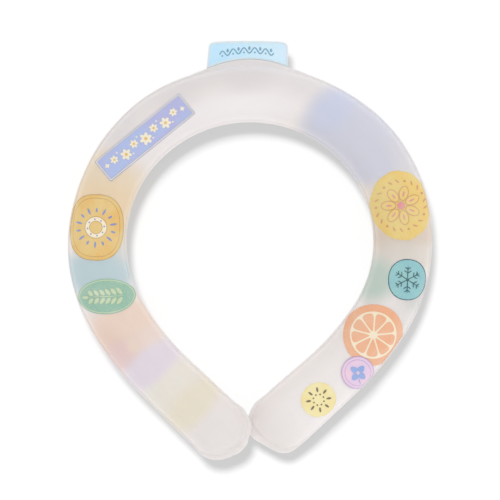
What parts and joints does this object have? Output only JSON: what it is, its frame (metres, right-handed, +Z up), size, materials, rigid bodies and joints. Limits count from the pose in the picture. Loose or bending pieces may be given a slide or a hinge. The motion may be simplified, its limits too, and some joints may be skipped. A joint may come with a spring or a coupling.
{
  "type": "cooling neck ring",
  "caption": "Open teardrop ring of frosted film filled with cooling gel, worn round the neck, with tapered lapping ends and a small tab at the back.",
  "frame": {"origin": "middle of the ring's bounding box on the surface it lies on", "axes": "+Z up from the surface, +Y from the lapped ends to the tab at the back, +X to the right seen from above"},
  "size_m": [0.1748, 0.201, 0.025],
  "materials": {
    "frosted_film": "frosted milky soft film with pale watercolour tints",
    "gel": "cloudy soft gel",
    "tab": "soft light blue with a pale welded edge"
  },
  "bodies": {
    "root": {"upper_film": "frosted_film", "lower_film": "frosted_film", "gel_core": "gel", "back_tab": "tab"}
  },
  "joints": []
}
